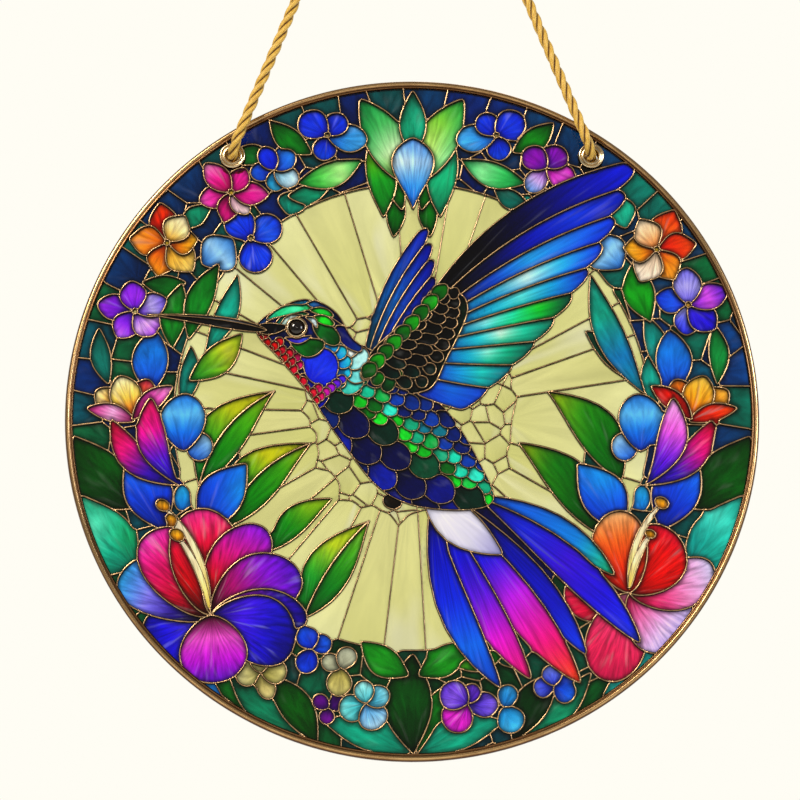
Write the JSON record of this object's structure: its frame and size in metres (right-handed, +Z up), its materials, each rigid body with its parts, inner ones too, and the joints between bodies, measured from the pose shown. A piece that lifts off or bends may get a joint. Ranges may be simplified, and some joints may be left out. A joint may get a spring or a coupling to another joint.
{
  "type": "stained glass suncatcher",
  "caption": "Round leaded glass panel of a hummingbird in a flower wreath, in a bronze hoop, hung on a twisted cord from a pair of eyelets.",
  "frame": {"origin": "inside of the cord's loop, where a hook bears and the part hangs", "axes": "+Z up, +Y from the front of the panel to its back, +X to the right as seen from the front"},
  "size_m": [0.3, 0.0257, 0.4523],
  "materials": {
    "solder": "copper-patinated solder bead",
    "rim_bronze": "polished bronze",
    "eyelet_brass": "polished",
    "cord": "twisted satin cord",
    "glass_ground": "clear, faintly olive",
    "glass_blue": "streaky cathedral glass",
    "glass_teal": "streaky cathedral glass",
    "glass_green": "streaky cathedral glass",
    "glass_violet": "streaky cathedral glass",
    "glass_red": "streaky cathedral glass",
    "glass_orange": "streaky cathedral glass",
    "glass_white": "wispy opal glass",
    "glass_dark": "near black glass"
  },
  "bodies": {
    "root": {"solder_net": "solder", "glass_beak": "glass_dark", "glass_wing_coverts": "glass_dark", "glass_wing_feathers_1": "glass_blue", "glass_wing_feathers_2": "glass_blue", "glass_wing_feathers_3": "glass_teal", "glass_wing_feathers_4": "glass_teal", "glass_throat": "glass_red", "glass_gorget": "glass_violet", "glass_head": "glass_green", "glass_undertail": "glass_white", "glass_back": "glass_green", "glass_belly": "glass_dark", "glass_far_wing": "glass_blue", "glass_tail_feather_1": "glass_blue", "glass_tail_feather_2": "glass_violet", "glass_tail_feather_3": "glass_red", "glass_tail_feather_4": "glass_blue", "glass_hibiscus_left": "glass_violet", "glass_hibiscus_right": "glass_orange", "glass_trumpet_left": "glass_red", "glass_trumpet_right": "glass_orange", "glass_star_flower_left": "glass_orange", "glass_star_flower_right": "glass_orange", "glass_violet_flower_left": "glass_violet", "glass_violet_flower_right": "glass_violet", "glass_pink_flower": "glass_red", "glass_purple_flower": "glass_violet", "glass_blue_flower_left": "glass_blue", "glass_blue_flower_right": "glass_blue", "glass_sky_flower": "glass_blue", "glass_low_flower_left": "glass_white", "glass_low_flower_right": "glass_violet", "glass_drop": "glass_blue", "glass_top_leaf_left": "glass_green", "glass_top_leaf_right": "glass_green", "glass_drooping_leaves": "glass_green", "glass_blue_leaf_left": "glass_blue", "glass_blue_leaf_right": "glass_blue", "glass_long_leaf_upper_left": "glass_green", "glass_long_leaf_upper_right": "glass_green", "glass_long_leaf_middle_left": "glass_green", "glass_long_leaf_middle_right": "glass_green", "glass_long_leaf_lower": "glass_green", "glass_ground_1": "glass_ground", "glass_ground_2": "glass_ground", "glass_ground_3": "glass_ground", "glass_ground_4": "glass_ground", "glass_wreath_1": "glass_green", "glass_wreath_2": "glass_blue", "glass_wreath_3": "glass_blue", "glass_wreath_4": "glass_green", "glass_wreath_5": "glass_teal", "glass_wreath_6": "glass_green", "glass_wreath_7": "glass_green", "glass_wreath_8": "glass_teal", "rim": "rim_bronze", "eyelet_left": "eyelet_brass", "eyelet_right": "eyelet_brass", "cord": "cord"}
  },
  "joints": []
}
